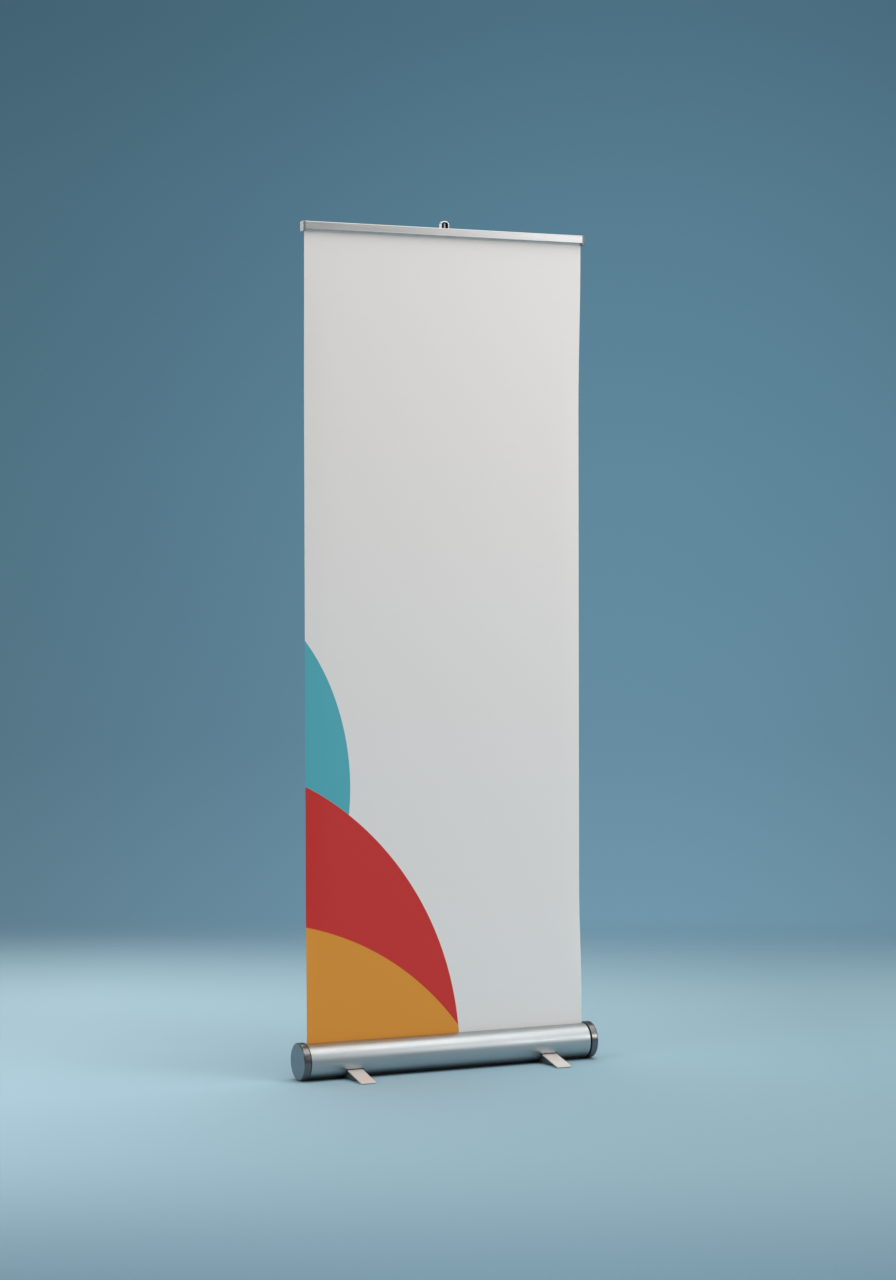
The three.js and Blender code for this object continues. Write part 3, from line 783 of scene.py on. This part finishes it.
def cap_profile(radius, outer):
    """Half a cap's section, from the boss through the hollow and the rim to the flat face."""
    boss_end = CAP_BACK - 2.2 * MM
    boss_ease = 0.6 * MM
    bore_ease = 0.4 * MM
    mouth_ease = 0.3 * MM
    hollow = CAP_BACK + CAP_HOLLOW
    profile = [(0, boss_end), (CAP_BOSS - boss_ease, boss_end), (CAP_BOSS, boss_end + boss_ease)]
    profile += [(CAP_BOSS, hollow), (CAP_BORE - bore_ease, hollow), (CAP_BORE, hollow - bore_ease)]
    profile += [(CAP_BORE, CAP_BACK + mouth_ease), (CAP_BORE + mouth_ease, CAP_BACK)]
    profile += arc(radius - CAP_LIP, CAP_BACK + CAP_LIP, CAP_LIP, -90, 0, 5)
    profile += arc(radius - CAP_RIM, outer - CAP_RIM, CAP_RIM, 0, 90, 12)
    return profile + [(30 * MM, outer), (12 * MM, outer), (0, outer)]


def end_cap(looks, side, word):
    """A turned cap: a flat face, a round rim and a small back chamfer, hollow towards the tube."""
    low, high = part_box("end_cap_" + word)
    profile = cap_profile((high.y - low.y) / 2, max(abs(low.x), abs(high.x)))
    cap = turned("end_cap_" + word + "_fine", profile, 160, "x", (0, 0, AXIS_Z))
    if side < 0:
        cap.data.transform(Matrix.Rotation(math.pi, 4, "Z"))
    smooth(cap, 42)
    place(cap, "end_cap_" + word, "cap_gunmetal", looks["gunmetal"])
    # The flat end face takes the lighter, bluer copy of the coat: painted light and painted reflection.
    repaint(cap, looks["cap_face_painted_light"], lambda face: face.normal.x * side > 0.97)


def tuft_section(low, high, rng):
    """A brush strip's section at one tuft, as (y, z) points; the tip leans away from the banner."""
    top = high.z - rng.uniform(0.0, TUFT_UNEVEN) * MM
    lean = rng.uniform(0.0, TUFT_LEAN) * MM
    y0, y1 = (low.y, high.y - lean) if low.y < 0 else (low.y + lean, high.y)
    shoulder = low.z + TUFT_BASE
    base = [(low.y, low.z), (high.y, low.z), (high.y, shoulder)]
    tip = [(y1, top - TUFT_TIP), ((y0 + y1) / 2, top), (y0, top - TUFT_TIP)]
    return base + tip + [(low.y, shoulder)]


def brush(looks, node):
    """A brush strip whose pile stands in uneven tufts."""
    low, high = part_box(node)
    rng = random.Random(node)
    count = int((high.x - low.x) / TUFT_PITCH)
    vertices = []
    for i in range(count + 1):
        x = low.x + (high.x - low.x) * i / count
        section = tuft_section(low, high, rng)
        vertices += [(x, y, z) for y, z in section]
    size = len(section)
    faces = [tuple(reversed(range(size))), tuple(range(count * size, (count + 1) * size))]
    for i in range(count):
        faces += band(size, i * size, (i + 1) * size)
    strip = link_mesh(node + "_pile", vertices, faces)
    fix_normals(strip)
    place(strip, node, "felt", looks["felt"])


def cassette(looks):
    cassette_tube(looks)
    for side, word in SIDES:
        end_cap(looks, side, word)
        # The end plates show only as the groove by each cap; their blacker plastic paints its shade.
        refined("end_plate_" + word, "black_plastic", looks["plate"], 0.25 * MM, 2)
    brush(looks, "brush_front")
    brush(looks, "brush_rear")


# ---------- banner ----------


def smoothstep(value, start, end):
    t = min(1.0, max(0.0, (value - start) / (end - start)))
    return t * t * (3 - 2 * t)


def banner_rows(low, high):
    """Heights of the sheet's rows, closer together where it curls."""
    heights = [low, ROW_AT_SLOT, *np.linspace(*ROWS_LOW), *np.linspace(*ROWS_MIDDLE)]
    return [float(z) for z in (*heights, *np.linspace(*ROWS_HIGH), ROW_AT_RAIL, high)]


def banner_columns(half):
    """Places of the sheet's columns across it, closer together at its edges."""
    flat = half - CURL_WIDTH
    edge = list(np.linspace(flat, half, EDGE_COLUMNS))[1:]
    middle = np.linspace(-flat, flat, MIDDLE_COLUMNS)
    return [float(x) for x in (*[-x for x in reversed(edge)], *middle, *edge)]


def banner_point(x, z, half, y):
    """Where a point of the flat sheet goes once its edges have curled back."""
    s = max(0.0, (abs(x) - (half - CURL_WIDTH)) / CURL_WIDTH)
    share = smoothstep(z, *CURL_LOW) * smoothstep(z, *CURL_TOP)
    bend = share * s * s
    return (x - math.copysign(CURL_IN * bend, x), y + CURL_BACK * bend, z)


def sheet_faces(wide, tall):
    """Front, back and rim faces of a thin sheet with wide by tall vertices on each side."""
    back = wide * tall
    front_faces, back_faces = [], []
    for j in range(tall - 1):
        for i in range(wide - 1):
            a = j * wide + i
            front_faces.append((a, a + 1, a + wide + 1, a + wide))
            back_faces.append((back + a, back + a + wide, back + a + wide + 1, back + a + 1))
    rim = list(range(wide)) + [j * wide + wide - 1 for j in range(1, tall)]
    rim += [(tall - 1) * wide + i for i in range(wide - 2, -1, -1)]
    rim += [j * wide for j in range(tall - 2, 0, -1)]
    rim_faces = [(a, back + a, back + b, b) for a, b in zip(rim, rim[1:] + rim[:1])]
    return front_faces, back_faces, rim_faces


def banner(looks):
    low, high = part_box("banner_sheet")
    rows = banner_rows(low.z, high.z)
    columns = banner_columns(high.x)
    vertices = [banner_point(x, z, high.x, low.y) for z in rows for x in columns]
    vertices += [banner_point(x, z, high.x, high.y) for z in rows for x in columns]
    front_faces, back_faces, rim_faces = sheet_faces(len(columns), len(rows))
    sheet = link_mesh("banner_film", vertices, front_faces + back_faces + rim_faces)
    back_start = len(front_faces)
    rim_start = back_start + len(back_faces)
    for polygon in sheet.data.polygons:
        polygon.use_smooth = polygon.index < rim_start
    sheet.data.set_sharp_from_angle(angle=math.radians(50))
    place(sheet, "banner_sheet", "banner_film", looks["film"], looks["film_back"])
    for polygon in sheet.data.polygons:
        polygon.material_index = 1 if back_start <= polygon.index < rim_start else 0
    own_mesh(sheet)


# ---------- pole ----------


def pole_tube(looks, node):
    """A drawn tube with rounded rims at both ends."""
    low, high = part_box(node)
    radius = (high.x - low.x) / 2
    bore = radius - POLE_WALL
    rim = 0.3 * MM
    profile = arc(radius - rim, high.z - rim, rim, 0, 90, 4)
    profile += arc(bore + rim, high.z - rim, rim, 90, 180, 4)
    profile += arc(bore + rim, low.z + rim, rim, 180, 270, 4)
    profile += arc(radius - rim, low.z + rim, rim, 270, 360, 4)
    tube = turned(node + "_drawn", profile, 72, "z", (0, POLE_Y, 0))
    smooth(tube, 50)
    place(tube, node, "pole_aluminium", looks["pole"])


def ring(radii, z):
    """A closed ring of points round the Z axis, one for each radius."""
    points = []
    for k, radius in enumerate(radii):
        angle = 2 * math.pi * k / len(radii)
        points.append((radius * math.cos(angle), radius * math.sin(angle), z))
    return points


def grip_radii(outer, offset, share):
    """The collar's outline at one level, from plain and round at share 0 to lobed at 1."""
    radii = []
    for k in range(COLLAR_SEGMENTS):
        turns = COLLAR_LOBES * (2 * math.pi * k / COLLAR_SEGMENTS)
        wave = 0.5 * (1 + math.cos(turns)) ** LOBE_FULLNESS
        plain = outer - LOBE_DEPTH + offset * MM
        radius = plain - LOBE_DEPTH * LOBE_VALLEY * share + share * LOBE_DEPTH * LOBE_SWING * wave
        radii.append(min(radius, outer))
    return radii


def collar(looks, node):
    """A twist-lock collar: twelve grip lobes between two plain rounded ends."""
    low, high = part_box(node)
    outer = (high.x - low.x) / 2
    tall = (high.z - low.z) / MM
    top_end = [(tall - height, offset, share) for height, offset, share in reversed(COLLAR_END)]
    vertices = []
    for height, offset, share in [*COLLAR_END, *top_end]:
        vertices += ring(grip_radii(outer, offset, share), low.z + height * MM)
    for height in (tall, 0.0):
        vertices += ring([COLLAR_BORES[node]] * COLLAR_SEGMENTS, low.z + height * MM)
    faces = []
    for start in range(0, len(vertices), COLLAR_SEGMENTS):
        faces += band(COLLAR_SEGMENTS, start, (start + COLLAR_SEGMENTS) % len(vertices))
    piece = link_mesh(node + "_grip", vertices, faces)
    piece.data.transform(Matrix.Translation((0, POLE_Y, 0)))
    fix_normals(piece)
    smooth(piece, 45)
    place(piece, node, "black_plastic", looks["black"])


def pole(looks):
    for node in ("pole_lower", "pole_mid", "pole_top"):
        pole_tube(looks, node)
    collar(looks, "collar_lower")
    collar(looks, "collar_mid")
    refined("pole_socket", "black_plastic", looks["black"], 0.3 * MM, 2)
    refined("pole_head", "black_plastic", looks["black"], 0.5 * MM)
    # The tongue's darker steel paints the shade inside the hood.
    refined("hook_tongue", "bright_steel", looks["tongue"], 0.35 * MM)


# ---------- top rail ----------


def rail(looks):
    refined("rail_back", "rail_aluminium", looks["rail"], 0.12 * MM, 2)
    jaw = refined("rail_jaw", "rail_aluminium", looks["rail"], 0.12 * MM, 2)
    lip_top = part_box("rail_jaw")[0].z + GASKET_HEIGHT
    repaint(jaw, looks["gasket"], lambda face: face.center.z < lip_top)
    for _, word in SIDES:
        cap = refined("rail_cap_" + word, "light_plastic", looks["light"], 0.5 * MM)
        # The end faces take the lighter copy of the plastic: painted light.
        repaint(cap, looks["end_face_painted_light"], lambda face: abs(face.normal.x) > 0.9)
    refined("rail_hanger", "bright_steel", looks["bright"], 0.45 * MM)
    # A black liner on the hood's inner walls, put there as a dark sheet that paints the shade inside the hood.
    refined("hanger_liner", "black_plastic", looks["black"], 0.2 * MM, 2)


# ---------- feet ----------


def feet(looks):
    for word in FEET:
        refined("foot_plate_" + word, "foot_paint", looks["paint"], 0.5 * MM)
        refined("foot_bracket_" + word, "black_plastic", looks["bracket"], 0.4 * MM)
        refined("foot_pad_" + word, "rubber", looks["rubber"], 0.5 * MM)


# ---------- inner CAD nodes that stay ----------


def carried_over(looks):
    """Gives every CAD node that is still shown a node material for its finish."""
    by_slot = {
        "cassette_aluminium": "tube",
        "rail_aluminium": "rail",
        "pole_aluminium": "pole",
        "steel": "steel",
        "bright_steel": "bright",
        "cap_gunmetal": "gunmetal",
        "black_plastic": "black",
        "light_plastic": "light",
        "rubber": "rubber",
        "felt": "felt",
        "banner_film": "film_back",
        "foot_paint": "paint",
    }
    for part in frame["record"]["subparts"]:
        for slot in frame["nodes"][part["node"]].material_slots:
            slot.material = looks[by_slot[part["material_slot"]]]


# ---------- studio ----------


def camera():
    data = bpy.data.cameras.new("photo_camera")
    data.sensor_width = 36
    data.lens = CAMERA_LENS
    data.clip_end = 200
    eye = bpy.data.objects.new("photo_camera", data)
    bpy.context.scene.collection.objects.link(eye)
    yaw = Matrix.Rotation(CAMERA_YAW, 4, "Z")
    pitch = Matrix.Rotation(CAMERA_PITCH, 4, "X")
    roll = Matrix.Rotation(CAMERA_ROLL, 4, "Z")
    eye.matrix_world = Matrix.Translation(CAMERA_PLACE) @ yaw @ pitch @ roll
    bpy.context.scene.camera = eye


def softbox(name, location, target, size, power, colour=WHITE, only_gloss=False):
    """A lamp that the camera doesn't see; only_gloss leaves it in reflections alone."""
    data = bpy.data.lights.new(name, "AREA")
    data.shape = "RECTANGLE"
    data.size, data.size_y = size
    data.energy = power
    data.color = colour
    lamp = bpy.data.objects.new(name, data)
    bpy.context.scene.collection.objects.link(lamp)
    lamp.location = location
    aim = Vector(target) - Vector(location)
    lamp.rotation_euler = aim.to_track_quat("-Z", "Y").to_euler()
    lamp.visible_camera = False
    lamp.visible_diffuse = not only_gloss


def lights():
    softbox("key", (1.75, -1.9, 2.75), (0.2, 0, 1.6), (1.2, 1.4), 7.5)
    softbox("rail_light", (2.6, -3.4, 1.9), (0.2, 0, 2.0), (1.0, 1.6), 35)
    softbox("overhead", (1.3, -0.55, 4.2), (0.6, -0.3, 0), (3.6, 3.1), 79, WARM)
    softbox("overhead_back", (0.6, 2.0, 3.9), (0.2, 0, 0.2), (3.0, 2.0), 28)
    softbox("tube_gloss", (0.7, -2.1, 3.2), (0, 0, 0), (2.2, 1.4), 7.5, WARMER, only_gloss=True)
    softbox("rim_left", (-2.6, 4.8, 2.8), (0, 0, 2.0), (1.8, 1.6), 18)
    softbox("left_side", (-3.2, -0.4, 2.4), (0, 0, 0.6), (1.6, 2.4), 34)


def painted_contact_shadow(look):
    """Painted contact shadow: 1 under the cassette, where little light gets in, and 0 on the open floor."""
    axes = look.axes(look.points)
    depth = look.spread(look.math("ABSOLUTE", axes["Y"]), 1.0, 0.0, *PAINTED_SHADOW_DEPTH)
    length = look.spread(look.math("ABSOLUTE", axes["X"]), 1.0, 0.0, *PAINTED_SHADOW_LENGTH)
    return look.math("MULTIPLY", depth, length)


def floor_distance(look, across, along):
    """How far out a point of the floor is, for the fade."""
    across = look.math("MULTIPLY", look.math("ABSOLUTE", across), FLOOR_SQUEEZE)
    along = look.math("ABSOLUTE", along)
    powers = [look.math("POWER", value, FLOOR_POWER) for value in (across, along)]
    return look.math("POWER", look.math("ADD", *powers), 1 / FLOOR_POWER)


def floor_look():
    """A pale floor with painted light and a painted shadow, which fades out some way from the stand, where the
    backdrop takes over.
    """
    look = Look("studio_floor")
    look.set(Roughness=0.75, Specular_IOR_Level=0.2)
    turn = look.add("ShaderNodeVectorRotate", rotation_type="Z_AXIS")
    look.link(look.points, turn.inputs["Vector"])
    turn.inputs["Angle"].default_value = -CAMERA_YAW
    view = look.axes(turn.outputs["Vector"])
    # Painted light: the floor is lighter at the view's left and farther back, darker at the right and nearer
    # the camera.
    side = look.spread(view["X"], 0.0, 1.0, -FLOOR_SIDE, FLOOR_SIDE)
    near = look.mix(side, *[srgb(*colour) for colour in FLOOR_NEAR])
    far = look.mix(side, *[srgb(*colour) for colour in FLOOR_FAR])
    ground = look.mix(look.spread(view["Y"], 0.0, 1.0, *FLOOR_DEPTH), near, far)
    # Under the cassette the floor's colour is darkened into a painted shadow.
    look.colour(look.mix(painted_contact_shadow(look), ground, srgb(*FLOOR_PAINTED_SHADOW)))
    distance = floor_distance(look, view["X"], view["Y"])
    fade = look.spread(distance, 0.0, 1.0, *FLOOR_FADE, "SMOOTHSTEP")
    clear = look.add("ShaderNodeBsdfTransparent").outputs["BSDF"]
    surface = look.mix_shader(fade, look.shader.outputs["BSDF"], clear)
    look.link(surface, look.tree.nodes["Material Output"].inputs["Surface"])
    return look.material


def floor():
    half = FLOOR_HALF
    corners = [(-half, -half, 0), (half, -half, 0), (half, half, 0), (-half, half, 0)]
    ground = link_mesh("studio_floor", corners, [(0, 1, 2, 3)])
    ground.data.materials.append(floor_look())


def sky_colour(nodes, height):
    """The backdrop's colour, by the height of the view's direction."""
    lowest, highest = SKY[0][0], SKY[-1][0]
    ramp = nodes.add("ShaderNodeValToRGB")
    nodes.link(nodes.spread(height, 0.0, 1.0, lowest, highest), ramp.inputs["Fac"])
    elements = ramp.color_ramp.elements
    elements[0].position, elements[0].color = 0.0, srgb(*SKY[0][1])
    elements[1].position, elements[1].color = 1.0, srgb(*SKY[-1][1])
    for value, colour in SKY[1:-1]:
        element = elements.new((value - lowest) / (highest - lowest))
        element.color = srgb(*colour)
    return ramp.outputs["Color"]


def lifted_sky(nodes, direction, height):
    """The backdrop's colour, lighter round the centre of the painted pool of light."""
    away = nodes.distance(nodes.stretched(GLOW_STRETCH, direction), GLOW_CENTRE)
    lift = nodes.spread(away, *GLOW_LIFT, 0.0, GLOW_RADIUS, "SMOOTHSTEP")
    scaled = nodes.add("ShaderNodeVectorMath", operation="SCALE")
    nodes.link(sky_colour(nodes, height), scaled.inputs[0])
    nodes.link(lift, scaled.inputs["Scale"])
    return scaled.outputs["Vector"]


def background(nodes, colour, strength=1.0):
    node = nodes.add("ShaderNodeBackground")
    nodes.put(colour, node.inputs["Color"])
    nodes.put(strength, node.inputs["Strength"])
    return node.outputs["Background"]


def backdrop():
    """The world: what the camera sees behind the stand, what pieces mirror and what lights them."""
    world = bpy.data.worlds.new("studio")
    bpy.context.scene.world = world
    world.use_nodes = True
    world.node_tree.nodes.clear()
    nodes = Nodes(world.node_tree)
    direction = nodes.add("ShaderNodeTexCoord").outputs["Generated"]
    height = nodes.axes(direction)["Z"]
    seen = background(nodes, lifted_sky(nodes, direction, height))
    brightness = nodes.spread(height, *AMBIENT_STRENGTH, *AMBIENT_HEIGHT)
    ambient = background(nodes, AMBIENT, brightness)
    horizon = nodes.spread(height, 0.0, 1.0, *MIRRORED_HEIGHT)
    mirrored = background(nodes, nodes.mix(horizon, MIRRORED_LOW, MIRRORED_HIGH))
    ray = nodes.add("ShaderNodeLightPath").outputs
    unseen = nodes.mix_shader(ray["Is Diffuse Ray"], mirrored, ambient)
    shown = nodes.mix_shader(ray["Is Camera Ray"], unseen, seen)
    nodes.link(shown, nodes.add("ShaderNodeOutputWorld").inputs["Surface"])


bpy.context.scene.view_settings.view_transform = "Standard"
camera()
lights()
floor()
backdrop()

looks = make_looks()
carried_over(looks)
cassette(looks)
banner(looks)
pole(looks)
rail(looks)
feet(looks)
